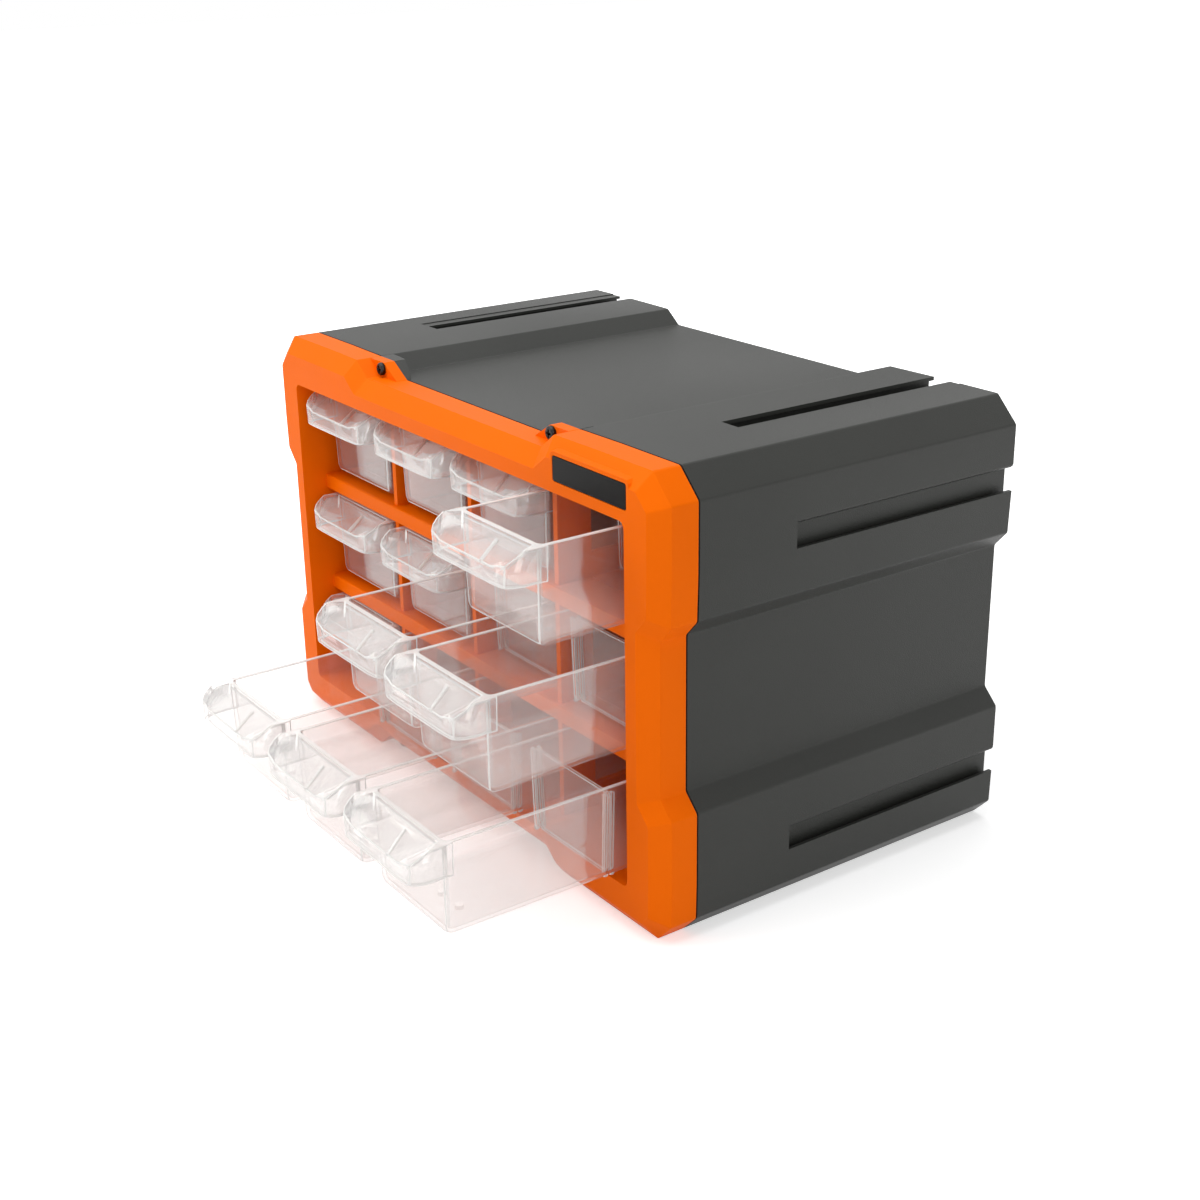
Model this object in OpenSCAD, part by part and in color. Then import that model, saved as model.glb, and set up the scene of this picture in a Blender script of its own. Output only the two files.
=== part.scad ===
// Parts bin cabinet: a charcoal housing with an orange bezel, and twelve frosted
// drawers in four columns and three rows, some of them standing open.
// Millimetres. X runs to the right, Y to the back and Z up. The origin is the middle
// of the base: the feet stand on z = 0, and the bezel's face is at -cabinet_d / 2.

/* [Cabinet] */
// Width over the side bands
cabinet_w = 264; // [250:1:300]
// Height from the feet to the top bands
cabinet_h = 165; // [156:1:190]
// Depth from the bezel's face to the back edge
cabinet_d = 158; // [150:1:190]
// Wall of the charcoal housing
shell_wall = 2.4; // [1.8:0.1:3]
// Back wall of the housing
back_wall = 2.5; // [1.8:0.1:4]
// How far the back wall lies in from the back edge
back_recess = 4; // [2:0.5:8]
// Width and depth of the groove where the housing meets the bezel
seam = 0.6; // [0.3:0.1:1]

/* [Raised bands] */
// How far the bands stand out from the sunk middle of each face
band_step = 6.1; // [3:0.1:7]
// Width of the top and bottom bands, measured in from the side
band_w = 63.5; // [56:0.5:70]
// Sideways run of the slope at the end of the top and bottom bands
band_slope = 7.7; // [4:0.1:9]
// Height of the lower side band
lower_band_h = 47.2; // [42:0.2:52]
// Height of the upper side band, measured down from the top
upper_band_h = 49.7; // [44:0.1:54]
// Slanted cut at the two top corners
top_corner = 9.4; // [7:0.1:11]
// Slanted cut at the two bottom corners
bottom_corner = 7.5; // [6:0.1:9]
// Rounding of the outline's corners
band_round = 1.6; // [0.8:0.1:2]
// How far the top bands lean down, from the slot to the band's end
top_lean = 0.3; // [0.1:0.05:0.5]
// How far the upper side band leans in, from its slot's lip down to its lower edge
upper_lean = 0.5; // [0.2:0.05:0.8]
// How far the lower side band leans in, from its slot's lip down to the corner's cut
lower_lean = 0.3; // [0.1:0.05:0.5]

/* [Bezel] */
// Depth of the orange bezel, from its face to the seam
bezel_d = 15.6; // [14:0.1:18]
// Width of the bevel round the face
bevel_w = 6.3; // [4:0.1:7]
// Depth of the bevel round the face
bevel_d = 5.1; // [3:0.1:6]
// Wall of the bezel's sides, behind the bevel
bezel_wall = 2.5; // [2:0.1:3.5]
// Frame from the cabinet's side to the opening
frame_side = 18.1; // [17:0.1:20]
// Frame from the foot plane up to the opening
frame_bottom = 16.4; // [15:0.1:19]
// Frame from the top down to the opening
frame_top = 17.9; // [17.5:0.1:20]
// Rounding of the opening's corners
opening_round = 2.5; // [1:0.1:4]
// Wall of the collar that carries the opening on into the housing
collar_wall = 1.6; // [1.2:0.1:2.4]
// Depth at which the orange grid ends
grid_back = 26.6; // [22:0.1:30]
// Setback of the grid's rails from the face
rail_front = 10.5; // [6:0.1:12]
// Thickness of the grid's rails
rail_t = 6.6; // [4:0.1:8]
// Setback of the grid's upright dividers from the face
divider_front = 12.4; // [8:0.1:14]
// Rounding of the rails' edges
rail_round = 1.2; // [0.6:0.1:1.8]
// Thickness of the grid's upright dividers
divider_t = 2.5; // [1.8:0.1:3.5]
// Extra room over the drawers of the top row
top_row_extra = 1.7; // [1:0.1:3]
// Height of the low walls that run back from the grid beside the drawers
low_wall_h = 9; // [7:0.2:11]
// Depth at which the low walls end
low_wall_end = 60; // [45:1:90]

/* [Badge] */
// Width of the badge plate
badge_w = 40.6; // [30:0.2:42]
// Height of the badge plate
badge_h = 8.6; // [6:0.2:9]
// Thickness of the badge plate
badge_t = 0.8; // [0.6:0.1:1.2]
// Distance from the cabinet's side to the badge plate
badge_side = 16.8; // [16:0.1:20]
// Distance from the top down to the badge plate
badge_top = 5.1; // [5:0.1:6]
// Raised rim round the badge plate
badge_rim = 1.6; // [1:0.1:2]
// Play round the badge plate in its pocket
badge_gap = 0.2; // [0.1:0.05:0.4]
// Rounding of the badge plate's corners
badge_round = 0.8; // [0.4:0.1:1.2]
// Flare of the rim's bevelled edge
badge_flare = 0.9; // [0.4:0.1:1.4]

/* [Screws] */
// Distance from the band's end inwards to each screw
screw_inset = 9.8; // [8.5:0.1:11.5]
// Distance from the top or the bottom to each screw
screw_z = 2.9; // [2.8:0.1:3.1]
// Head diameter
screw_head_d = 5; // [4.4:0.1:5.4]
// Head height
screw_head_h = 1.7; // [1.2:0.1:2.4]
// Shank diameter
screw_d = 2.6; // [2.2:0.1:2.8]
// Length under the head
screw_l = 9; // [8:0.5:9.5]
// Play of the shank in the ear's hole, all round
screw_play = 0.2; // [0.1:0.05:0.3]
// Width of the head's cross recess
cross_w = 0.8; // [0.6:0.1:1]
// Length of the head's cross recess
cross_l = 3; // [2.4:0.1:3.6]
// Depth of the head's cross recess
cross_deep = 1; // [0.6:0.1:1.1]
// Length of the ear's top, from the band's end inwards
ear_reach = 11; // [10:0.1:12.5]
// Sideways run of the ear's sloping end
ear_slope = 9.5; // [6:0.1:12]
// Setback of the ear's front from the face
ear_front = 11; // [9:0.1:12.5]
// Depth of the housing's boss behind the ear
boss_d = 5.6; // [5.2:0.1:9]

/* [Connector slots] */
// Mouth width of the slots in the top and bottom
top_slot_w = 8; // [6:0.1:9]
// Depth of the slots in the top and bottom
top_slot_deep = 4; // [3.4:0.1:5]
// Distance from the cabinet's right side to the middle of the right-hand slot
right_slot_side = 36.5; // [28:0.5:44]
// Distance from the cabinet's left side to the middle of the left-hand slot
left_slot_side = 32; // [28:0.5:44]
// Depth behind the bezel's face at which the top slots start
top_slot_start = 57.5; // [40:0.5:80]
// Width of the shallow seat along the outer side of each top slot
seat_w = 5; // [3:0.1:6]
// Depth of the shallow seat
seat_deep = 0.3; // [0.2:0.05:0.6]
// Mouth height of the slots in the sides
side_slot_h = 10.1; // [8:0.1:12]
// Depth of the slots in the sides
side_slot_deep = 3.8; // [3.2:0.1:4.6]
// Lower edge of the upper side slot, measured down from the top
upper_slot_z = 33.8; // [30:0.1:36]
// Lower edge of the lower side slot
lower_slot_z = 20.4; // [14:0.1:24]
// Depth behind the bezel's face at which the side slots start
side_slot_start = 56.5; // [40:0.5:80]
// Thickness of the slots' thin lip
slot_lip = 1.4; // [1:0.1:1.8]
// How far the slots undercut the thin lip
slot_undercut = 2.4; // [1.6:0.1:3]
// Height of the rounded shoulder on the side slots' upper edge
slot_shoulder = 2.3; // [1.4:0.1:3]

/* [Inside the housing] */
// Thickness of the shelves
shelf_t = 2; // [1.6:0.1:3]
// Thickness of the webs under the lowest shelf
web_t = 1.4; // [1:0.1:2]
// Height of the keyholes' round entry
keyhole_z = 126; // [116:0.5:134]
// Diameter of the keyholes' round entry
keyhole_d = 8.5; // [7:0.1:9]
// Width of the keyholes' slot
keyhole_slot = 4.2; // [3.4:0.1:4.6]

/* [Drawers] */
// Room at each side between a drawer's rim and the grid
drawer_side_gap = 3.5; // [3:0.1:4.5]
// Height of a drawer's base over the shelf
drawer_lift = 1.8; // [1.2:0.1:2.4]
// Room between a drawer's rim and the rail above it
drawer_top_gap = 1.4; // [1:0.1:3]
// Room between a closed drawer and the back wall
drawer_rear_gap = 1.2; // [0.8:0.1:4]
// Thickness of the drawer's walls
drawer_wall = 1.2; // [0.9:0.05:1.6]
// Thickness of the drawer's floor
drawer_floor = 1.4; // [1:0.1:2]
// Taper of each side wall over the drawer's height
side_draft = 1.45; // [0.8:0.05:1.8]
// Taper of the front and rear walls over the drawer's height
end_draft = 0.6; // [0.3:0.05:1]
// Rounding of the drawer's upright corners
drawer_corner = 2.6; // [2:0.1:3.4]
// Rounding of the drawer's lower edges
drawer_base_round = 3.6; // [2.6:0.1:4.4]
// Distance that a drawer runs out to its stop
drawer_travel = 100; // [90:1:110]
// Height of the stop ears over the rim
stop_h = 4.2; // [3.6:0.1:4.6]
// Length of the stop ears
stop_l = 7; // [5:0.5:9]
// Play between the stop ears and the grid at full travel
stop_gap = 0.3; // [0.2:0.05:0.5]
// Diameter of the glide nubs under the drawer
nub_d = 3; // [2.4:0.1:4]
// Play between the glide nubs and the shelf
nub_gap = 0.3; // [0.2:0.05:0.6]
// Distance of the front nubs behind the front wall
nub_front = 15; // [10:0.5:25]
// Distance of the rear nubs ahead of the rear wall
nub_rear = 12; // [8:0.5:20]
// Distance between the two nubs of a pair
nub_span = 11; // [8:0.5:30]

/* [Pull hood] */
// Reach of the hood's lip ahead of the drawer's front wall
hood_reach = 12.3; // [10:0.1:14]
// Height of the hood from its lower edge to the rim
hood_h = 12; // [10:0.2:14]
// How far the hood stands out past the drawer's side
hood_side = 0.75; // [0.4:0.05:1.4]
// How far the hood's cheeks run back past the front wall
hood_back = 3; // [2:0.1:5]
// Drop of the lip's upper edge below the rim
lip_drop = 6; // [5:0.1:7]
// Half-width of the lip's flat middle
lip_half = 15.3; // [13:0.1:17]
// Width of the lip's turned end, up to the round corner
lip_turn = 5; // [3:0.1:6]
// Drop of the crease below the rim
crease_drop = 3; // [2:0.1:4]
// Distance of the crease ahead of the front wall
crease_reach = 2.2; // [1.5:0.1:3]
// Half-width of the crease
crease_half = 17.5; // [15:0.1:19]
// Distance of the cheek's high corner ahead of the front wall
cheek_reach = 5.4; // [4:0.1:7]
// How far the lip's turned ends lie behind its flat middle
lip_sweep = 0.3; // [0:0.1:0.8]
// How much narrower the hood is at its lower edge, on each side
hood_draft = 0.6; // [0.2:0.05:0.7]
// Width of the rib across the hood's slope
hood_rib_w = 0.8; // [0.5:0.1:1.4]
// Height of the rib above the hood's slope
hood_rib_h = 0.5; // [0.3:0.1:0.8]
// Distance of the rib's upper end from the drawer's middle
hood_rib_from = 2.9; // [0:0.1:6]
// Distance of the rib's lower end from the drawer's middle
hood_rib_to = 9.4; // [6:0.1:13]

/* [Partitions] */
// Distance of the partition behind the drawer's front wall
partition_y = 65; // [40:1:90]
// Thickness of the partition plate
partition_t = 1.2; // [0.9:0.1:1.6]
// How far the partition stops below the rim
partition_drop = 3; // [1:0.2:8]
// Slanted cut at the partition's top corners
partition_cut = 1.5; // [0.5:0.1:3]
// Play round the partition
partition_gap = 0.2; // [0.1:0.05:0.3]
// Thickness of the slot ribs that hold the partition
slot_rib_t = 1; // [0.8:0.1:1.6]
// How far the slot ribs stand in from the side wall
slot_rib_proud = 1.3; // [0.8:0.1:2]

/* [Open drawers] */
// How far the top row's drawers stand out, from left to right
row_1_pull = [0, 0, 0, 41];
// How far the middle row's drawers stand out
row_2_pull = [0, 0, 57.2, 61.5];
// How far the bottom row's drawers stand out
row_3_pull = [0, 79.8, 79.8, 79.8];

/* [Hidden] */
columns = 4;
rows = 3;
pulls = [row_1_pull, row_2_pull, row_3_pull];
charcoal = [0.25, 0.255, 0.245];
orange = [0.96, 0.42, 0.08];
frosted = [0.88, 0.9, 0.9, 0.6];
dark = [0.08, 0.08, 0.08];
eps = 0.5;         // overlap that lets a cut run clear of a face
arc_steps = 3;     // straight pieces in each rounded corner of a drawer
outline_steps = 2; // straight pieces in each rounded corner of the outline
$fn = 32;

// Bands, ears and screws, measured from the middle of the cabinet
band_end = cabinet_w / 2 - band_w;
ear_foot = band_end - ear_reach - ear_slope;
screw_x = band_end - screw_inset;
right_slot_x = cabinet_w / 2 - right_slot_side;
left_slot_x = cabinet_w / 2 - left_slot_side;

// Corner of the badge plate nearest the middle and the bottom
badge_x = cabinet_w / 2 - badge_side - badge_w;
badge_z = cabinet_h - badge_top - badge_h;

// Opening and grid
opening_w = cabinet_w - 2 * frame_side;
opening_top = cabinet_h - frame_top;
column_pitch = opening_w / columns;
row_pitch = (opening_top - frame_bottom - top_row_extra + rail_t) / rows;
back_inner = cabinet_d - back_recess - back_wall;
keyhole_x = column_pitch; // between the outer and the inner columns

// Drawers
drawer_w = column_pitch - divider_t - 2 * drawer_side_gap;
drawer_h = row_pitch - rail_t - drawer_lift - drawer_top_gap;
drawer_front = hood_reach;
drawer_l = back_inner - drawer_rear_gap - drawer_front;
inner_base_round = drawer_base_round - drawer_wall;
stop_y = grid_back + drawer_travel + stop_gap - drawer_front;

function cell_x(c) = (c - (columns + 1) / 2) * column_pitch;
function floor_z(r) = frame_bottom + (rows - r) * row_pitch;

// ---------------------------------------------------------------- outlines

function unit(v) = v / norm(v);

// A closed outline from its right-hand half, listed from the bottom to the top
function both_sides(half) =
    concat(half, [for (i = [len(half) - 1 : -1 : 0]) [-half[i].x, half[i].y]]);

// The outline moved inwards by d; the points run anticlockwise
function moved_in(p, d) = [
    for (i = [0 : len(p) - 1])
        let (
            n = len(p),
            before = unit(p[i] - p[(i + n - 1) % n]),
            after = unit(p[(i + 1) % n] - p[i]),
            side_1 = [-before.y, before.x],
            side_2 = [-after.y, after.x]
        )
        p[i] + d * (side_1 + side_2) / (1 + side_1 * side_2)
];

// The outline with each corner turned into an arc of radius r
function rounded(p, r, steps) = [
    for (i = [0 : len(p) - 1])
        let (
            n = len(p),
            a = unit(p[(i + n - 1) % n] - p[i]),
            b = unit(p[(i + 1) % n] - p[i]),
            half_angle = acos(a * b) / 2,
            sweep = 180 - 2 * half_angle,
            centre = p[i] + unit(a + b) * r / sin(half_angle),
            start = p[i] + a * r / tan(half_angle) - centre,
            end = p[i] + b * r / tan(half_angle) - centre
        )
        for (k = [0 : steps])
            centre + (sin(sweep * (1 - k / steps)) * start + sin(sweep * k / steps) * end) / sin(sweep)
];

// Front view of the cabinet: raised bands at the corners, sunk middles between them
function shell_half() =
    let (side = cabinet_w / 2, top = cabinet_h)
    [
        [side - band_w - band_slope, band_step],
        [side - band_w, 0],
        [side - bottom_corner, 0],
        [side - lower_lean, bottom_corner],
        [side, lower_slot_z],
        [side, lower_band_h],
        [side - band_step, lower_band_h + band_step],
        [side - band_step, top - upper_band_h - band_step],
        [side - upper_lean, top - upper_band_h],
        [side, top - upper_slot_z],
        [side, top - top_corner],
        [side - top_corner, top],
        [right_slot_x - top_slot_w / 2, top],
        [side - band_w, top - top_lean],
        [side - band_w - band_slope, top - band_step],
    ];

function shell_outline(d) = rounded(moved_in(both_sides(shell_half()), d), band_round, outline_steps);

// The drawers' opening, grown by d
function opening_outline(d) =
    let (x = opening_w / 2 + d)
    rounded(
        [[-x, frame_bottom - d], [x, frame_bottom - d], [x, opening_top + d], [-x, opening_top + d]],
        opening_round + d, arc_steps
    );

// The badge plate's outline, grown by d
function badge_outline(d) =
    let (x = badge_x - d, z = badge_z - d, w = badge_w + 2 * d, h = badge_h + 2 * d)
    rounded([[x, z], [x + w, z], [x + w, z + h], [x, z + h]], badge_round + d, arc_steps);

// The ear at the inner end of the top right band
function ear_outline() =
    let (low = cabinet_h - band_step, high = cabinet_h - top_lean)
    [
        [ear_foot, low - eps],
        [band_end, low - eps],
        [band_end, high],
        [ear_foot + ear_slope, high],
        [ear_foot, low],
    ];

// ---------------------------------------------------------------- placing

// Depths are measured back from the bezel's face
module from_face() {
    translate([0, -cabinet_d / 2, 0]) children();
}

// Stretches a front-view outline from depth y1 to depth y2
module along_y(y1, y2) {
    translate([0, y2, 0]) rotate([90, 0, 0]) linear_extrude(y2 - y1) children();
}

// Stretches a side-view outline (depth, height) from x1 to x2
module along_x(x1, x2) {
    translate([x1, 0, 0]) rotate([90, 0, 90]) linear_extrude(x2 - x1) children();
}

// Repeats a feature of the top right at all four corners of the front view
module at_four_corners() {
    for (side = [0, 1], level = [0, 1])
        translate([0, 0, cabinet_h / 2])
            mirror([side, 0, 0])
                mirror([0, 0, level])
                    translate([0, 0, -cabinet_h / 2]) children();
}

module left_and_right() {
    for (side = [0, 1]) mirror([side, 0, 0]) children();
}

// A solid between two outlines of as many points, at depths y1 and y2
module loft_y(front, back, y1, y2) {
    n = len(front);
    polyhedron(
        points = concat([for (p = front) [p.x, y1, p.y]], [for (p = back) [p.x, y2, p.y]]),
        faces = concat(
            [[for (i = [n - 1 : -1 : 0]) i]],
            [[for (i = [0 : n - 1]) n + i]],
            [for (i = [0 : n - 1]) [i, (i + 1) % n, n + (i + 1) % n, n + i]]
        )
    );
}

// The bevel round the bezel's face: a closed ring whose section runs from the full
// outline to the face, in along the face, and back
module bevel_ring() {
    lap = 2;
    section = [[0, bevel_d], [bevel_w, 0], [bevel_w + lap, 0], [bevel_w + lap, bevel_d]];
    turns = [for (s = section) [for (p = shell_outline(s.x)) [p.x, s.y, p.y]]];
    n = len(turns[0]);
    m = len(section);
    polyhedron(
        points = [for (turn = turns) for (p = turn) p],
        faces = [
            for (j = [0 : m - 1], i = [0 : n - 1])
                let (k = (j + 1) % m, next = (i + 1) % n)
                [k * n + i, k * n + next, j * n + next, j * n + i]
        ]
    );
}

// A solid through a stack of rings, each with as many points
module loft_rings(rings) {
    n = len(rings[0]);
    levels = len(rings);
    polyhedron(
        points = [for (ring = rings) for (p = ring) p],
        faces = concat(
            [[for (i = [0 : n - 1]) i]],
            [[for (i = [n - 1 : -1 : 0]) (levels - 1) * n + i]],
            [
                for (j = [0 : levels - 2], i = [0 : n - 1])
                    [j * n + i, (j + 1) * n + i, (j + 1) * n + (i + 1) % n, j * n + (i + 1) % n]
            ]
        )
    );
}

// ---------------------------------------------------------------- housing

// Section of a top slot, its mouth centred on x = 0 and its lip on the left
module top_slot_section() {
    half = top_slot_w / 2;
    polygon([
        [-half, eps],
        [-half, -slot_lip],
        [-half - slot_undercut, -slot_lip],
        [-half - slot_undercut, -top_slot_deep],
        [half, -top_slot_deep],
        [half, eps],
    ]);
}

// Section of a side slot: x runs in from the side face, y up from the lower lip
module side_slot_section() {
    shoulder_foot = side_slot_h - slot_shoulder;
    polygon(concat(
        [
            [eps, 0],
            [-slot_lip, 0],
            [-slot_lip, -slot_undercut],
            [-side_slot_deep, -slot_undercut],
        ],
        [
            for (a = [0 : 22.5 : 90])
                [-side_slot_deep * (1 - sin(a)), shoulder_foot + slot_shoulder * (1 - cos(a))]
        ],
        [[eps, side_slot_h]]
    ));
}

// Places a top slot's section at all four top and bottom slots
module at_top_slots(y1) {
    for (level = [0, 1], x = [right_slot_x, -left_slot_x])
        translate([0, 0, cabinet_h / 2])
            mirror([0, 0, level])
                along_y(y1, cabinet_d + eps) translate([x, cabinet_h / 2]) children();
}

// Shallow seats along the outer sides of the top slots
module top_slot_seats() {
    middles = [right_slot_x, left_slot_x];
    for (level = [0, 1], side = [0, 1])
        translate([0, 0, cabinet_h / 2])
            mirror([0, 0, level])
                mirror([side, 0, 0])
                    along_y(top_slot_start, cabinet_d + eps)
                        translate([middles[side] + top_slot_w / 2, cabinet_h / 2 - seat_deep])
                            square([seat_w, seat_deep + eps]);
}

// Places a side slot's section at all four side slots
module at_side_slots(y1) {
    left_and_right()
        for (z = [cabinet_h - upper_slot_z, lower_slot_z])
            along_y(y1, cabinet_d + eps) translate([cabinet_w / 2, z]) children();
}

// Walls that close the slots off from the inside of the housing
module slot_pockets() {
    below = top_slot_deep + shell_wall;
    inward = side_slot_deep + shell_wall;
    intersection() {
        union() {
            at_top_slots(top_slot_start - shell_wall)
                translate([-top_slot_w / 2 - slot_undercut - shell_wall, -below])
                    square([top_slot_w + slot_undercut + 2 * shell_wall, below]);
            at_side_slots(side_slot_start - shell_wall)
                translate([-inward, -slot_undercut - shell_wall])
                    square([inward, side_slot_h + slot_undercut + 2 * shell_wall]);
        }
        along_y(bezel_d, cabinet_d) polygon(shell_outline(eps));
    }
}

// Full-depth shelves that carry on the grid
module shelves() {
    intersection() {
        along_y(grid_back, back_inner + eps) polygon(shell_outline(shell_wall - eps));
        for (r = [1 : rows])
            translate([-cabinet_w / 2, grid_back, floor_z(r) - shelf_t])
                cube([cabinet_w, cabinet_d, shelf_t]);
    }
    base_webs();
}

// Upright webs that carry the lowest shelf on the housing's bottom
module base_webs() {
    intersection() {
        along_y(grid_back, back_inner + eps) polygon(shell_outline(shell_wall - eps));
        for (c = [0 : columns])
            translate([cell_x(c + 0.5) - web_t / 2, grid_back, 0])
                cube([web_t, cabinet_d, frame_bottom - shelf_t / 2]);
    }
}

// Rounded boss behind each ear, which takes the bezel's screw
module screw_boss() {
    low = cabinet_h - band_step - eps;
    end = bezel_d + boss_d;
    intersection() {
        along_y(bezel_d, end) polygon(rounded(ear_outline(), eps / 2, 1));
        translate([0, 0, low]) linear_extrude(band_step + 2 * eps) polygon(concat(
            [
                [ear_foot - eps, bezel_d - eps],
                [band_end + eps, bezel_d - eps],
                [band_end + eps, end + eps],
            ],
            [
                for (a = [90 : -15 : 0])
                    [band_end - (band_end - ear_foot) * cos(a) - eps, bezel_d + boss_d * sin(a)]
            ]
        ));
    }
}

module keyhole() {
    along_y(back_inner - eps, cabinet_d) {
        circle(d = keyhole_d);
        translate([0, keyhole_d]) circle(d = keyhole_slot);
        translate([-keyhole_slot / 2, 0]) square([keyhole_slot, keyhole_d]);
    }
}

module housing() {
    color(charcoal) from_face() difference() {
        union() {
            difference() {
                union() {
                    along_y(bezel_d, bezel_d + seam) polygon(shell_outline(seam));
                    along_y(bezel_d + seam, cabinet_d) polygon(shell_outline(0));
                }
                along_y(bezel_d - eps, back_inner) polygon(shell_outline(shell_wall));
                along_y(back_inner + back_wall, cabinet_d + eps) polygon(shell_outline(shell_wall));
            }
            slot_pockets();
            shelves();
            at_four_corners() screw_boss();
        }
        at_top_slots(top_slot_start) top_slot_section();
        top_slot_seats();
        at_side_slots(side_slot_start) side_slot_section();
        left_and_right() translate([keyhole_x, 0, keyhole_z]) keyhole();
        at_four_corners() translate([screw_x, ear_front + screw_l + eps, cabinet_h - screw_z])
            rotate([90, 0, 0]) cylinder(d = screw_d, h = screw_l);
    }
}

// ---------------------------------------------------------------- bezel

// Rails and upright dividers between the drawers
module grid() {
    for (r = [1 : rows - 1]) {
        top = floor_z(r);
        along_x(-opening_w / 2 - eps, opening_w / 2 + eps) polygon(rounded(
            [
                [rail_front, top - rail_t],
                [grid_back, top - rail_t],
                [grid_back, top],
                [rail_front, top],
            ],
            rail_round, outline_steps
        ));
    }
    for (c = [1 : columns - 1])
        translate([cell_x(c + 0.5), 0, 0]) along_y(divider_front, grid_back)
            translate([-divider_t / 2, frame_bottom - eps])
                square([divider_t, opening_top - frame_bottom + 2 * eps]);
}

// Low walls that carry the dividers and the collar's sides on along the shelves
module low_walls() {
    for (r = [1 : rows]) translate([0, 0, floor_z(r)]) along_y(grid_back - eps, low_wall_end) {
        for (c = [1 : columns - 1])
            translate([cell_x(c + 0.5) - divider_t / 2, 0]) square([divider_t, low_wall_h]);
        for (side = [0, 1]) mirror([side, 0])
            translate([opening_w / 2, 0]) square([collar_wall, low_wall_h]);
    }
}

// Raised pad with bevelled edges that carries the badge plate
module badge_pad() {
    front = badge_outline(badge_rim);
    loft_y(front, moved_in(front, -badge_flare), 0, bevel_d);
}

module bezel() {
    color(orange) from_face() {
        difference() {
            union() {
                difference() {
                    union() {
                        bevel_ring();
                        along_y(0, bevel_d + eps) polygon(shell_outline(bevel_w + eps));
                        along_y(bevel_d, bezel_d) polygon(shell_outline(0));
                    }
                    along_y(bevel_d + bezel_wall / 2, bezel_d + eps) difference() {
                        polygon(shell_outline(bezel_wall));
                        polygon(opening_outline(collar_wall));
                    }
                }
                along_y(bevel_d, grid_back) polygon(opening_outline(collar_wall));
                at_four_corners() along_y(ear_front, bezel_d)
                    polygon(rounded(ear_outline(), eps / 2, 1));
                badge_pad();
            }
            along_y(-eps, grid_back + eps) polygon(opening_outline(0));
            along_y(-eps, badge_t) polygon(badge_outline(badge_gap));
            at_four_corners() translate([screw_x, bezel_d + eps, cabinet_h - screw_z])
                rotate([90, 0, 0]) cylinder(d = screw_d + 2 * screw_play, h = bezel_d);
        }
        grid();
        low_walls();
    }
}

// The plate stays bare, with rounded corners
module badge_plate() {
    color(dark) from_face() along_y(0, badge_t) polygon(badge_outline(0));
}

module bezel_screws() {
    crown = screw_head_h / 2;
    color(dark) from_face() at_four_corners()
        translate([screw_x, ear_front, cabinet_h - screw_z]) difference() {
            union() {
                rotate([-90, 0, 0]) cylinder(d = screw_d, h = screw_l);
                rotate([90, 0, 0]) rotate_extrude() polygon(concat(
                    [[0, screw_head_h], [0, 0], [screw_head_d / 2, 0]],
                    [
                        for (a = [0 : 30 : 90])
                            [screw_head_d / 2 - crown * (1 - cos(a)), crown * (1 + sin(a))]
                    ]
                ));
            }
            for (turn = [0, 90]) rotate([0, turn, 0])
                translate([-cross_l / 2, -screw_head_h - eps, -cross_w / 2])
                    cube([cross_l, cross_deep + eps, cross_w]);
        }
}

// ---------------------------------------------------------------- drawer

// In these modules x = 0 is the drawer's middle, y = 0 the outer face of its front
// wall at the rim, and z = 0 its base.

// Half-width of the drawer's outside at height z
function half_at(z) = drawer_w / 2 - side_draft * (1 - z / drawer_h);

// One ring of the drawer at height z, moved in by d
function drawer_ring(z, d) =
    let (x = half_at(z) - d, taper = end_draft * (1 - z / drawer_h))
    [
        for (p = rounded(
            [
                [-x, taper + d],
                [x, taper + d],
                [x, drawer_l - taper - d],
                [-x, drawer_l - taper - d],
            ],
            drawer_corner - d / 2, arc_steps
        )) [p.x, p.y, z]
    ];

// Rings from z1, where the lower edge is rounded by r, up to z2
function drawer_rings(z1, z2, r, d) = concat(
    [for (a = [0 : 30 : 90]) drawer_ring(z1 + r * (1 - cos(a)), d + r * (1 - sin(a)))],
    [drawer_ring(z2, d)]
);

// Right-hand half of the hood's plan, from the lip's flat middle round to the cheek:
// each point is [x, y, drop below the rim]
function hood_half(d) =
    let (
        half = drawer_w / 2 + hood_side - d,
        turn_x = lip_half + lip_turn - d / 2,
        turn_y = -hood_reach + d + lip_sweep,
        cheek_y = -cheek_reach + d / 2
    )
    concat(
        [[lip_half - d / 2, -hood_reach + d, lip_drop]],
        [
            for (a = [90 : -22.5 : 0])
                [
                    turn_x + (half - turn_x) * cos(a),
                    cheek_y + (turn_y - cheek_y) * sin(a),
                    lip_drop * a / 90,
                ]
        ],
        [[half, hood_back, 0]]
    );

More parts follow.
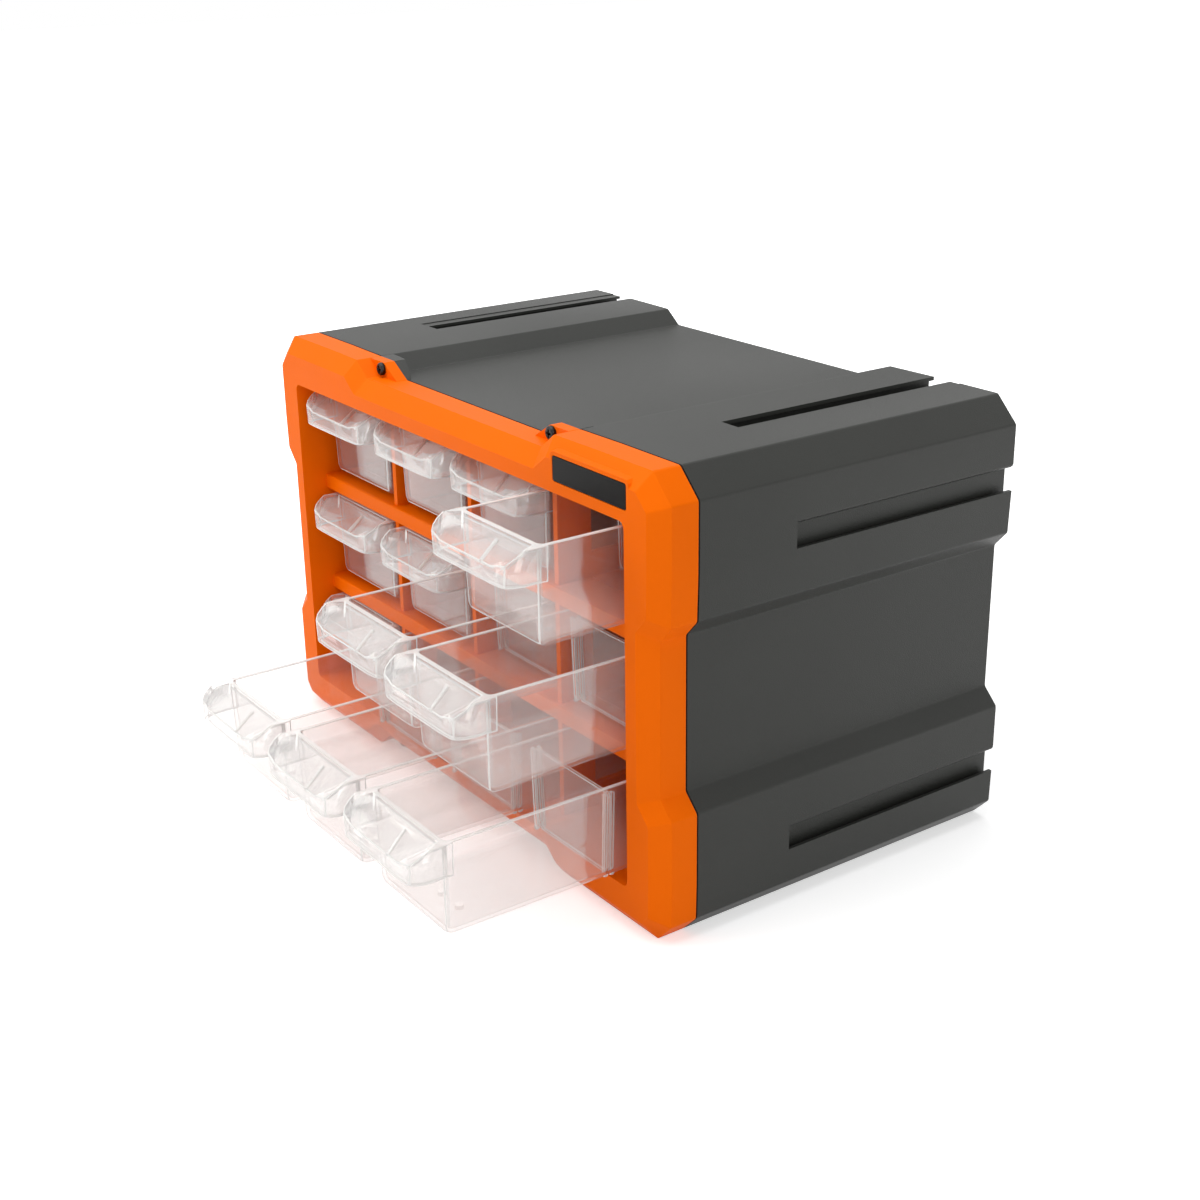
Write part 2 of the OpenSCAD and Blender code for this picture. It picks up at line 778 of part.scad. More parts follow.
// The hood as a solid block: cheeks level with the rim, a crease in front of the
// wall, and a slope from the crease down to the lip. d moves its sides in, and
// down lowers its top.
module hood_block(d, down, bottom) {
    half = hood_half(d);
    m = len(half);
    n = 2 * m;
    rim_x = drawer_w / 2 - drawer_corner - d / 2;
    crease_x = crease_half - d / 2;
    top = drawer_h - down;
    ring = concat([for (i = [m - 1 : -1 : 0]) [-half[i].x, half[i].y, half[i].z]], half);
    polyhedron(
        points = concat(
            [for (p = ring) [p.x, p.y, top - p.z]],
            [for (p = ring) [p.x - sign(p.x) * hood_draft, p.y, bottom]],
            [
                [-rim_x, -down / 2, top],
                [-crease_x, -crease_reach - down / 2, top - crease_drop],
                [crease_x, -crease_reach - down / 2, top - crease_drop],
                [rim_x, -down / 2, top],
            ]
        ),
        faces = concat(
            [
                [0, n - 1, 2 * n + 3, 2 * n],
                [0, 2 * n, 1],
                [2 * n, 2 * n + 1, 1],
                [n - 2, 2 * n + 3, n - 1],
                [n - 2, 2 * n + 2, 2 * n + 3],
                [2 * n, 2 * n + 3, 2 * n + 2, 2 * n + 1],
                [2 * n + 1, 2 * n + 2, m, m - 1],
                [2 * n + 1, m - 1, 1],
                [n - 2, m, 2 * n + 2],
            ],
            [for (i = [1 : m - 3]) [m - 1, i + 1, i]],
            [for (i = [1 : m - 3]) [n - 1 - i, n - 2 - i, m]],
            [for (i = [0 : n - 1]) [n + i, i, (i + 1) % n, n + (i + 1) % n]],
            [[for (i = [0 : n - 1]) n + i]]
        )
    );
}

// Low rib that crosses the hood's slope at a slant
module hood_rib() {
    from = [hood_rib_from, -crease_reach, drawer_h - crease_drop];
    to = [hood_rib_to, -hood_reach, drawer_h - lip_drop];
    run = to - from;
    translate(from)
        rotate([0, 0, atan2(run.y, run.x)])
            rotate([0, -atan2(run.z, norm([run.x, run.y])), 0])
                translate([0, -hood_rib_w / 2, -hood_rib_h])
                    cube([norm(run), hood_rib_w, 2 * hood_rib_h]);
}

// Pair of ribs on each side wall that hold the partition
module slot_ribs() {
    low = drawer_floor - eps;
    high = drawer_h - partition_drop;
    offset_y = partition_t / 2 + partition_gap;
    for (y = [partition_y - offset_y - slot_rib_t, partition_y + offset_y])
        left_and_right() along_y(y, y + slot_rib_t) polygon([
            [half_at(low) - drawer_wall - slot_rib_proud, low],
            [half_at(low) - drawer_wall / 2, low],
            [half_at(high) - drawer_wall / 2, high],
            [half_at(high) - drawer_wall - slot_rib_proud, high],
        ]);
}

// Ears on the side walls that stop the drawer behind the grid
module stop_ears() {
    half = half_at(drawer_h);
    left_and_right() along_x(half - drawer_wall, half) polygon([
        [stop_y, drawer_h - eps],
        [stop_y + stop_l, drawer_h - eps],
        [stop_y + stop_l * 0.4, drawer_h + stop_h],
        [stop_y, drawer_h + stop_h],
    ]);
}

module glide_nubs() {
    height = drawer_lift - nub_gap;
    for (y = [nub_front, drawer_l - nub_rear], x = [-nub_span / 2, nub_span / 2])
        translate([x, y, -height]) cylinder(d = nub_d, h = height + drawer_floor / 2);
}

// Moves a drawer or its partition to its cell, and out as far as it stands open
module in_cell(r, c) {
    from_face() translate([
        cell_x(c),
        drawer_front - pulls[r - 1][c - 1],
        floor_z(r) + drawer_lift,
    ]) children();
}

module drawer(r, c) {
    hood_bottom = drawer_h - hood_h;
    color(frosted) in_cell(r, c) {
        difference() {
            union() {
                loft_rings(drawer_rings(0, drawer_h, drawer_base_round, 0));
                difference() {
                    hood_block(0, 0, hood_bottom);
                    hood_block(drawer_wall, drawer_wall, hood_bottom - eps);
                }
                hood_rib();
                glide_nubs();
            }
            loft_rings(drawer_rings(drawer_floor, drawer_h + eps, inner_base_round, drawer_wall));
        }
        slot_ribs();
        stop_ears();
    }
}

// Plate that divides a drawer, bare on both faces
module partition(r, c) {
    low = drawer_floor;
    bend = drawer_floor + inner_base_round;
    high = drawer_h - partition_drop;
    edge = drawer_wall + partition_gap;
    color(frosted) in_cell(r, c)
        along_y(partition_y - partition_t / 2, partition_y + partition_t / 2)
            polygon([
                [-half_at(low) + edge + inner_base_round, low],
                [half_at(low) - edge - inner_base_round, low],
                [half_at(bend) - edge, bend],
                [half_at(high) - edge, high - partition_cut],
                [half_at(high) - edge - partition_cut, high],
                [-half_at(high) + edge + partition_cut, high],
                [-half_at(high) + edge, high - partition_cut],
                [-half_at(bend) + edge, bend],
            ]);
}

// ---------------------------------------------------------------- nodes

housing();
bezel();
badge_plate();
bezel_screws();
for (r = [1 : rows], c = [1 : columns]) {
    drawer(r, c);
    partition(r, c);
}
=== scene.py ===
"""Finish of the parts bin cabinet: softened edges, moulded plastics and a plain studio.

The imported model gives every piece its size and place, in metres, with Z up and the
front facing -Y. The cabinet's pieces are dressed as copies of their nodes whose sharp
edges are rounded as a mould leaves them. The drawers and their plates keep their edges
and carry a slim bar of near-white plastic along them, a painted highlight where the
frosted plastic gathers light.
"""

import logging
import math
from dataclasses import dataclass, field
from enum import Enum

import bmesh
import bpy
from mathutils import Matrix, Vector


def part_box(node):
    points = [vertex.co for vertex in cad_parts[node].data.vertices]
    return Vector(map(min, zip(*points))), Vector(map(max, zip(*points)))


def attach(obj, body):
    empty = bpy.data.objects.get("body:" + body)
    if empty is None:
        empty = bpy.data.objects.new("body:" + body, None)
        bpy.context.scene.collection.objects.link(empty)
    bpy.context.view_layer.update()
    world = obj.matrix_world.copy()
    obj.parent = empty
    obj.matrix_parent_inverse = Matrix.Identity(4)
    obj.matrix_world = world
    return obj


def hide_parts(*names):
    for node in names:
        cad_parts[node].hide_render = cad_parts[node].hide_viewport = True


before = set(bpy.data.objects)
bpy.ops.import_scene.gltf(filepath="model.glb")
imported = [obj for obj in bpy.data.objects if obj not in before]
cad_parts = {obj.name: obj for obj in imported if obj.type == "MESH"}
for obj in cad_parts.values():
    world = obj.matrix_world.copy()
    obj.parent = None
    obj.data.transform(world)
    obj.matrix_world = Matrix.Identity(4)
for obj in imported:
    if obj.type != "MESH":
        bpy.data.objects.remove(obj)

LOG = logging.getLogger("parts_bin_cabinet")
MM = 0.001
WEAR_LAYER = "edge_line"
SHEETS_IN_LINE = 32
SMOOTH_DEG = 38.0
NORMAL_WEIGHT = 60
NOISE_MIDDLE = (0.3, 0.7)
BROAD_MIDDLE = (0.35, 0.65)
PATCH_MIDDLE = (0.42, 0.62)
PATCH_LEAST = 0.15
FLOW_IN_HEIGHT = 0.15
BROAD_SHARE = 0.3
DRAWN_OUT = (1.0, 0.35, 1.0)
WHITE = (1.0, 1.0, 1.0, 1.0)

Colour = tuple[float, float, float]


def linear(red: int, green: int, blue: int) -> Colour:
    """Turns a display colour into the linear colour that a shader reads.

    Args:
        red: Red from 0 to 255.
        green: Green from 0 to 255.
        blue: Blue from 0 to 255.

    Returns:
        The same colour as three linear shares.
    """

    def one(value: int) -> float:
        """Turns one channel."""
        share = value / 255
        return share / 12.92 if share <= 0.04045 else ((share + 0.055) / 1.055) ** 2.4

    return one(red), one(green), one(blue)


class Body(Enum):
    """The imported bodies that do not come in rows."""

    CABINET = "cabinet"


class Slot(Enum):
    """The record's material slots."""

    CHARCOAL = "charcoal_plastic"
    ORANGE = "orange_plastic"
    FROSTED = "frosted_plastic"
    BADGE = "badge_black"
    SCREW = "screw_black"


class DrawerSkin(Enum):
    """Which material of a drawer a face takes, by its place in the list."""

    WALL = 0
    # painted highlight: the near-white, nearly opaque skin of the edge bars and rim tops
    EDGE = 1
    FLOOR = 2
    HOOD = 3
    # painted shade: the rear walls take a darker, clearer copy of the frosted plastic
    REAR_PAINTED_SHADE = 4


# ------------------------------------------------------------------ node helpers


@dataclass
class Wiring:
    """A node tree with short calls to add nodes and join sockets."""

    tree: bpy.types.NodeTree

    def add(self, kind: str, **values: object) -> bpy.types.Node:
        """Adds a node and sets its properties and the sockets that carry a plain value.

        Args:
            kind: Blender's name of the node type.
            values: Properties by name, or socket values with spaces as underscores.

        Returns:
            The new node.
        """
        node = self.tree.nodes.new(kind)
        for name, value in values.items():
            if hasattr(node, name):
                setattr(node, name, value)
            else:
                node.inputs[name.replace("_", " ")].default_value = value
        return node

    def join(self, source: bpy.types.NodeSocket, target: bpy.types.NodeSocket) -> None:
        """Links one socket to another."""
        self.tree.links.new(source, target)

    def maths(self, operation: str, *inputs: object) -> bpy.types.NodeSocket:
        """Adds a Math node.

        Args:
            operation: The operation's name.
            inputs: Up to three sockets or numbers.

        Returns:
            The node's output.
        """
        node = self.add("ShaderNodeMath", operation=operation)
        for socket, value in zip(node.inputs, inputs):
            if isinstance(value, bpy.types.NodeSocket):
                self.join(value, socket)
            else:
                socket.default_value = value
        return node.outputs[0]

    def ramp(
        self, value: bpy.types.NodeSocket, low: float, high: float, to_low: float, to_high: float
    ) -> bpy.types.NodeSocket:
        """Maps a value from one range to another, held at the ends.

        Args:
            value: The socket to map.
            low: Value that becomes to_low.
            high: Value that becomes to_high.
            to_low: Result at low.
            to_high: Result at high.

        Returns:
            The mapped value's socket.
        """
        node = self.add("ShaderNodeMapRange")
        self.join(value, node.inputs["Value"])
        ends = {"From Min": low, "From Max": high, "To Min": to_low, "To Max": to_high}
        for name, number in ends.items():
            node.inputs[name].default_value = number
        return node.outputs["Result"]

    def mix(self, share: object, first: object, second: object) -> bpy.types.NodeSocket:
        """Mixes two colours.

        Args:
            share: A socket or number for the second colour's share.
            first: A socket or colour.
            second: A socket or colour.

        Returns:
            The mixed colour's socket.
        """
        node = self.add("ShaderNodeMix", data_type="RGBA")
        sockets = [node.inputs[0], node.inputs[6], node.inputs[7]]
        for socket, value in zip(sockets, (share, first, second)):
            if isinstance(value, bpy.types.NodeSocket):
                self.join(value, socket)
            elif isinstance(value, tuple):
                socket.default_value = (*value, 1.0)
            else:
                socket.default_value = value
        return node.outputs[2]

    def noise(
        self, place: bpy.types.NodeSocket, scale: object, detail: float
    ) -> bpy.types.NodeSocket:
        """Adds a noise texture.

        Args:
            place: Socket with the place on the piece.
            scale: Cells per metre, a socket or a number.
            detail: Octaves of finer noise.

        Returns:
            The noise value's socket.
        """
        node = self.add("ShaderNodeTexNoise", Detail=detail)
        self.join(place, node.inputs["Vector"])
        if isinstance(scale, bpy.types.NodeSocket):
            self.join(scale, node.inputs["Scale"])
        else:
            node.inputs["Scale"].default_value = scale
        return node.outputs["Fac"]


class EffectGroups:
    """Node groups that more than one finish uses, each made once."""

    def __init__(self) -> None:
        """Makes the groups."""
        self.grain = self._moulded_grain()
        self.wear = self._edge_wear()
        self.clouding = self._clouding()

    @staticmethod
    def _open(
        name: str, inputs: dict[str, float], outputs: dict[str, str]
    ) -> tuple[Wiring, dict[str, bpy.types.NodeSocket], bpy.types.Node]:
        """Starts a group with its sockets.

        Args:
            name: The group's name.
            inputs: Default value of each float input, by name.
            outputs: Socket type of each output, by name.

        Returns:
            The group's wiring, its input sockets by name, and its output node.
        """
        tree = bpy.data.node_groups.new(name, "ShaderNodeTree")
        for label, value in inputs.items():
            socket = tree.interface.new_socket(
                label, in_out="INPUT", socket_type="NodeSocketFloat"
            )
            socket.default_value = value
        for label, kind in outputs.items():
            tree.interface.new_socket(label, in_out="OUTPUT", socket_type=kind)
        wiring = Wiring(tree)
        start = wiring.add("NodeGroupInput")
        end = wiring.add("NodeGroupOutput")
        return wiring, {label: start.outputs[label] for label in inputs}, end

    def _moulded_grain(self) -> bpy.types.NodeTree:
        """Fine grain that a textured mould leaves, with slow changes of shine and shade.

        Returns:
            The grain's group.
        """
        wiring, given, end = self._open(
            "moulded_grain",
            {"Grain": 2600.0, "Flow": 18.0},
            {"Height": "NodeSocketFloat", "Shade": "NodeSocketFloat", "Shine": "NodeSocketFloat"},
        )
        place = wiring.add("ShaderNodeTexCoord").outputs["Object"]
        fine = wiring.noise(place, given["Grain"], 2.0)
        slow = wiring.noise(place, given["Flow"], 4.0)
        broad = wiring.noise(place, wiring.maths("MULTIPLY", given["Flow"], BROAD_SHARE), 1.0)
        height = wiring.maths("MULTIPLY_ADD", slow, FLOW_IN_HEIGHT, fine)
        wiring.join(height, end.inputs["Height"])
        wiring.join(wiring.ramp(slow, *NOISE_MIDDLE, 0.0, 1.0), end.inputs["Shade"])
        wiring.join(wiring.ramp(broad, *BROAD_MIDDLE, 0.0, 1.0), end.inputs["Shine"])
        return wiring.tree

    def _edge_wear(self) -> bpy.types.NodeTree:
        """Mask of the rounded edges, broken up by noise where hands have polished them.

        Returns:
            The wear's group.
        """
        wiring, given, end = self._open(
            "edge_wear",
            {"Amount": 0.5, "Patches": 90.0},
            {"Mask": "NodeSocketFloat"},
        )
        place = wiring.add("ShaderNodeTexCoord").outputs["Object"]
        edge = wiring.add("ShaderNodeAttribute", attribute_name=WEAR_LAYER).outputs["Fac"]
        spots = wiring.noise(place, given["Patches"], 4.0)
        patches = wiring.ramp(spots, *PATCH_MIDDLE, PATCH_LEAST, 1.0)
        mask = wiring.maths("MULTIPLY", wiring.maths("MULTIPLY", edge, patches), given["Amount"])
        wiring.join(mask, end.inputs["Mask"])
        return wiring.tree

    def _clouding(self) -> bpy.types.NodeTree:
        """Uneven haze inside frosted plastic, drawn out along the way that it flowed.

        Returns:
            The haze's group.
        """
        wiring, given, end = self._open(
            "clouding",
            {"Size": 30.0, "Grain": 1800.0},
            {"Haze": "NodeSocketFloat", "Height": "NodeSocketFloat"},
        )
        place = wiring.add("ShaderNodeTexCoord").outputs["Object"]
        drawn = wiring.add("ShaderNodeMapping")
        drawn.inputs["Scale"].default_value = DRAWN_OUT
        wiring.join(place, drawn.inputs["Vector"])
        haze = wiring.noise(drawn.outputs["Vector"], given["Size"], 5.0)
        wiring.join(wiring.ramp(haze, *NOISE_MIDDLE, 0.0, 1.0), end.inputs["Haze"])
        wiring.join(wiring.noise(place, given["Grain"], 2.0), end.inputs["Height"])
        return wiring.tree


# ------------------------------------------------------------------ finishes


@dataclass(frozen=True)
class MouldedPlastic:
    """Opaque moulded plastic with a fine grain, and edges that shine a little more."""

    name: str
    colour: Colour
    worn_colour: Colour
    roughness: float
    roughness_swing: float
    shade_swing: float
    grain: float
    grain_depth: float
    wear: float
    specular: float
    worn_smoothing: float = 0.12

    def make(self, groups: EffectGroups) -> bpy.types.Material:
        """Builds the material.

        Args:
            groups: The shared effects.

        Returns:
            The new material.
        """
        material, wiring, shader = new_material(self.name)
        grain = wiring.add("ShaderNodeGroup", node_tree=groups.grain)
        grain.inputs["Grain"].default_value = self.grain
        wear = wiring.add("ShaderNodeGroup", node_tree=groups.wear)
        wear.inputs["Amount"].default_value = self.wear
        darker = tuple(c * (1 - self.shade_swing) for c in self.colour)
        lighter = tuple(min(1.0, c * (1 + self.shade_swing)) for c in self.colour)
        shaded = wiring.mix(grain.outputs["Shade"], darker, lighter)
        coloured = wiring.mix(wear.outputs["Mask"], shaded, self.worn_colour)
        wiring.join(coloured, shader.inputs["Base Color"])
        low = self.roughness - self.roughness_swing
        high = self.roughness + self.roughness_swing
        rough = wiring.ramp(grain.outputs["Shine"], 0.0, 1.0, low, high)
        rough = wiring.maths("MULTIPLY_ADD", wear.outputs["Mask"], -self.worn_smoothing, rough)
        wiring.join(rough, shader.inputs["Roughness"])
        shader.inputs["Specular IOR Level"].default_value = self.specular
        add_bump(wiring, shader, grain.outputs["Height"], self.grain_depth)
        return material


@dataclass(frozen=True)
class FrostedPlastic:
    """Thin clear plastic that hazes what is behind it and mirrors what is before it.

    A sheet shows more of both at a slant, so its cover rises with the slant, and a plain
    share of that cover is mirror.
    """

    name: str
    colour: Colour
    roughness: float
    mirror: float
    cover_facing: float
    cover_slanting: float
    haze_swing: float
    grain_depth: float
    slant_power: float = 3.0
    milky_share: float = 0.96
    roughness_spread: float = 0.25

    def make(self, groups: EffectGroups) -> bpy.types.Material:
        """Builds the material.

        Args:
            groups: The shared effects.

        Returns:
            The new material.
        """
        material, wiring, shader = new_material(self.name)
        cloud = wiring.add("ShaderNodeGroup", node_tree=groups.clouding)
        slant = wiring.add("ShaderNodeLayerWeight", Blend=0.5).outputs["Facing"]
        bent = wiring.maths("POWER", slant, self.slant_power)
        cover = wiring.ramp(bent, 0.0, 1.0, self.cover_facing, self.cover_slanting)
        haze = cloud.outputs["Haze"]
        swing = wiring.ramp(haze, 0.0, 1.0, 1 - self.haze_swing, 1 + self.haze_swing)
        wiring.join(wiring.maths("MULTIPLY", cover, swing), shader.inputs["Alpha"])
        milky = tuple(c * self.milky_share for c in self.colour)
        wiring.join(wiring.mix(haze, milky, self.colour), shader.inputs["Base Color"])
        smooth = self.roughness * (1 - self.roughness_spread)
        coarse = self.roughness * (1 + self.roughness_spread)
        wiring.join(wiring.ramp(haze, 0.0, 1.0, smooth, coarse), shader.inputs["Roughness"])
        shader.inputs["Metallic"].default_value = self.mirror
        add_bump(wiring, shader, cloud.outputs["Height"], self.grain_depth)
        return material


@dataclass(frozen=True)
class BlackenedSteel:
    """Oxide-black steel with bright wear on its edges."""

    name: str
    colour: Colour
    worn_colour: Colour
    roughness: float
    roughness_swing: float = 0.08
    grain: float = 4200.0
    grain_depth: float = 0.00002
    wear: float = 0.35
    wear_patches: float = 700.0

    def make(self, groups: EffectGroups) -> bpy.types.Material:
        """Builds the material.

        Args:
            groups: The shared effects.

        Returns:
            The new material.
        """
        material, wiring, shader = new_material(self.name)
        grain = wiring.add("ShaderNodeGroup", node_tree=groups.grain)
        grain.inputs["Grain"].default_value = self.grain
        wear = wiring.add("ShaderNodeGroup", node_tree=groups.wear)
        wear.inputs["Amount"].default_value = self.wear
        wear.inputs["Patches"].default_value = self.wear_patches
        coloured = wiring.mix(wear.outputs["Mask"], self.colour, self.worn_colour)
        wiring.join(coloured, shader.inputs["Base Color"])
        low = self.roughness - self.roughness_swing
        high = self.roughness + self.roughness_swing
        rough = wiring.ramp(grain.outputs["Shade"], 0.0, 1.0, low, high)
        wiring.join(rough, shader.inputs["Roughness"])
        shader.inputs["Metallic"].default_value = 1.0
        add_bump(wiring, shader, grain.outputs["Height"], self.grain_depth)
        return material


def new_material(name: str) -> tuple[bpy.types.Material, Wiring, bpy.types.Node]:
    """Makes an empty node material.

    Args:
        name: The material's name.

    Returns:
        The material, its wiring and its Principled shader.
    """
    material = bpy.data.materials.new(name)
    material.use_nodes = True
    wiring = Wiring(material.node_tree)
    shader = material.node_tree.nodes["Principled BSDF"]
    return material, wiring, shader


def add_bump(
    wiring: Wiring, shader: bpy.types.Node, height: bpy.types.NodeSocket, depth: float
) -> None:
    """Feeds a height into a shader's normal.

    Args:
        wiring: The material's wiring.
        shader: The Principled shader.
        height: The height's socket.
        depth: Depth in metres of a height of 1.
    """
    bump = wiring.add("ShaderNodeBump", Strength=1.0, Distance=depth)
    wiring.join(height, bump.inputs["Height"])
    wiring.join(bump.outputs["Normal"], shader.inputs["Normal"])


@dataclass(frozen=True)
class Finishes:
    """Every material of the cabinet."""

    charcoal: bpy.types.Material
    orange: bpy.types.Material
    frosted: bpy.types.Material
    frosted_painted_highlight: bpy.types.Material
    frosted_floor: bpy.types.Material
    frosted_hood: bpy.types.Material
    frosted_rear_painted_shade: bpy.types.Material
    badge: bpy.types.Material
    screw: bpy.types.Material


def make_finishes() -> Finishes:
    """Builds all materials with the colours that the pieces show.

    Returns:
        The finishes by name.
    """
    groups = EffectGroups()
    return Finishes(
        charcoal=MouldedPlastic(
            name="charcoal_moulded",
            colour=linear(43, 44, 41),
            worn_colour=linear(72, 73, 69),
            roughness=0.46,
            roughness_swing=0.07,
            shade_swing=0.08,
            grain=2600.0,
            grain_depth=0.00009,
            wear=0.5,
            specular=0.32,
        ).make(groups),
        orange=MouldedPlastic(
            name="orange_moulded",
            colour=linear(243, 106, 0),
            worn_colour=linear(255, 140, 20),
            roughness=0.48,
            roughness_swing=0.06,
            shade_swing=0.03,
            grain=1500.0,
            grain_depth=0.00004,
            wear=0.35,
            specular=0.05,
        ).make(groups),
        frosted=FrostedPlastic(
            name="frosted_wall",
            colour=linear(234, 226, 223),
            roughness=0.08,
            mirror=0.6,
            cover_facing=0.13,
            cover_slanting=0.8,
            haze_swing=0.12,
            grain_depth=0.000004,
        ).make(groups),
        # painted highlight: a whiter, more opaque copy of the frosted plastic for the edge bars
        # and rims
        frosted_painted_highlight=FrostedPlastic(
            name="frosted_painted_highlight",
            colour=linear(247, 246, 244),
            roughness=0.2,
            mirror=0.15,
            cover_facing=0.52,
            cover_slanting=0.95,
            haze_swing=0.06,
            grain_depth=0.000004,
        ).make(groups),
        frosted_floor=FrostedPlastic(
            name="frosted_floor",
            colour=linear(232, 225, 222),
            roughness=0.16,
            mirror=0.4,
            cover_facing=0.13,
            cover_slanting=0.75,
            haze_swing=0.15,
            grain_depth=0.000008,
        ).make(groups),
        frosted_hood=FrostedPlastic(
            name="frosted_hood",
            colour=linear(232, 230, 228),
            roughness=0.14,
            mirror=0.4,
            cover_facing=0.24,
            cover_slanting=0.9,
            haze_swing=0.1,
            grain_depth=0.000004,
        ).make(groups),
        # painted shade: a darker copy with less haze for the rear walls and plates, which sit in
        # the housing's shade
        frosted_rear_painted_shade=FrostedPlastic(
            name="frosted_rear_painted_shade",
            colour=linear(228, 222, 219),
            roughness=0.08,
            mirror=0.6,
            cover_facing=0.07,
            cover_slanting=0.7,
            haze_swing=0.12,
            grain_depth=0.000004,
        ).make(groups),
        badge=MouldedPlastic(
            name="badge_satin",
            colour=linear(16, 15, 14),
            worn_colour=linear(44, 42, 40),
            roughness=0.36,
            roughness_swing=0.05,
            shade_swing=0.08,
            grain=3200.0,
            grain_depth=0.00002,
            wear=0.3,
            specular=0.08,
        ).make(groups),
        screw=BlackenedSteel(
            name="screw_blackened",
            colour=linear(52, 50, 50),
            worn_colour=linear(150, 146, 142),
            roughness=0.38,
        ).make(groups),
    )


# ------------------------------------------------------------------ mesh helpers


@dataclass(frozen=True)
class EdgeSoftening:
    """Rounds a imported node's sharp edges on a copy of its mesh."""

    width: float
    segments: int = 2
    sharp_deg: float = 25.0
    weld: float = 2e-6
    flat_deg: float = 0.4

    def open_mesh(self, node: str) -> bmesh.types.BMesh:
        """Reads a node's mesh as one closed surface without needless edges.

        Args:
            node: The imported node's name.

        Returns:
            The mesh to work on.
        """
        mesh = bmesh.new()
        mesh.from_mesh(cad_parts[node].data)
        bmesh.ops.remove_doubles(mesh, verts=mesh.verts, dist=self.weld)
        bmesh.ops.dissolve_limit(
            mesh, angle_limit=math.radians(self.flat_deg), verts=mesh.verts, edges=mesh.edges
        )
        for face in mesh.faces:
            face.material_index = 0
        return mesh

    def soften(self, mesh: bmesh.types.BMesh) -> list[bmesh.types.BMFace]:
        """Rounds the sharp edges.

        Args:
            mesh: The mesh, which changes.

        Returns:
            The new faces along the edges.
        """
        limit = math.radians(self.sharp_deg)
        sharp = [e for e in mesh.edges if e.is_manifold and e.calc_face_angle(0.0) > limit]
        made = bmesh.ops.bevel(
            mesh,
            geom=sharp,
            offset=self.width,
            offset_type="OFFSET",
            segments=self.segments,
            profile=0.5,
            affect="EDGES",
            clamp_overlap=True,
        )
        return made["faces"]

    def close(
        self,
        mesh: bmesh.types.BMesh,
        name: str,
        edges: list[bmesh.types.BMFace],
        materials: list[bpy.types.Material],
    ) -> bpy.types.Object:
        """Turns the worked mesh into an object.

        Args:
            mesh: The worked mesh, which is freed.
            name: The new object's name.
            edges: Faces that count as edges for wear.
            materials: The object's materials in order.

        Returns:
            The new object.
        """
        layer = mesh.faces.layers.float.new(WEAR_LAYER)
        for face in edges:
            if face.is_valid:
                face[layer] = 1.0
        data = bpy.data.meshes.new(name)
        mesh.to_mesh(data)
        mesh.free()
        for material in materials:
            data.materials.append(material)
        data.shade_smooth()
        data.set_sharp_from_angle(angle=math.radians(SMOOTH_DEG))
        piece = bpy.data.objects.new(name, data)
        bpy.context.scene.collection.objects.link(piece)
        weighted = piece.modifiers.new("even_faces", "WEIGHTED_NORMAL")
        weighted.keep_sharp = True
        weighted.weight = NORMAL_WEIGHT
        return piece


@dataclass(frozen=True)
class PaintedHighlightBead:
    """Slim bar along the sharp edges of clear plastic, a painted highlight where it gathers light.
    """

    width: float = 0.36 * MM
    lift: float = 0.05 * MM
    shortest: float = 0.9 * MM
    crease_deg: float = 40.0
    bend_deg: float = 20.0
    front_share: float = 0.6

    def add(self, mesh: bmesh.types.BMesh) -> None:
        """Adds the painted highlight to a mesh as small three-sided bars.

        Args:
            mesh: The mesh, which gains the bars.
        """
        mesh.normal_update()
        bars = [self._sections(edge) for edge in mesh.edges if self._gathers_light(edge)]
        made = []
        for start, end in bars:
            ring = [mesh.verts.new(point) for point in (*start, *end)]
            sides = [(0, 1, 4, 3), (1, 2, 5, 4), (2, 0, 3, 5), (2, 1, 0), (3, 4, 5)]
            made.extend(mesh.faces.new([ring[i] for i in side]) for side in sides)
        # the bars take the painted highlight skin
        for face in made:
            face.material_index = DrawerSkin.EDGE.value
        bmesh.ops.recalc_face_normals(mesh, faces=made)

    def _gathers_light(self, edge: bmesh.types.BMEdge) -> bool:
        """Tells whether an edge is a crease, or the middle bend of a front corner.

        Args:
            edge: The edge to judge.

        Returns:
            True where the edge gets a bead.
        """
        if not edge.is_manifold or edge.calc_length() < self.shortest:
            return False
        turn = math.degrees(edge.calc_face_angle(0.0))
        faces_front = all(face.normal.y < -self.front_share for face in edge.link_faces)
        return turn > self.crease_deg or (faces_front and turn > self.bend_deg)

    def _sections(self, edge: bmesh.types.BMEdge) -> tuple[list[Vector], list[Vector]]:
        """Gives the corners of a bar's two ends.

        Args:
            edge: The edge that the bar covers.

        Returns:
            Three points at the edge's start and three at its end.
        """
        inward = []
        for loop in edge.link_loops:
            along = loop.link_loop_next.vert.co - loop.vert.co
            inward.append(loop.face.normal.cross(along).normalized() * self.width)
        first, second = (face.normal for face in edge.link_faces)
        out = (first + second).normalized() * self.lift
        start, end = (vert.co.copy() for vert in edge.verts)
        return (
            [start + out, start + inward[0], start + inward[1]],
            [end + out, end + inward[0], end + inward[1]],
        )


def seat(piece: bpy.types.Object, body: str, slot: Slot, *nodes: str) -> bpy.types.Object:
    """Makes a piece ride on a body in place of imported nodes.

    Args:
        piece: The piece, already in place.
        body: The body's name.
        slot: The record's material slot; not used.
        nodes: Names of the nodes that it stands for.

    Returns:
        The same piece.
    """
    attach(piece, body)
    if nodes:
        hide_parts(*nodes)
    LOG.info("%s rides on %s", piece.name, body)
    return piece


# ------------------------------------------------------------------ cabinet


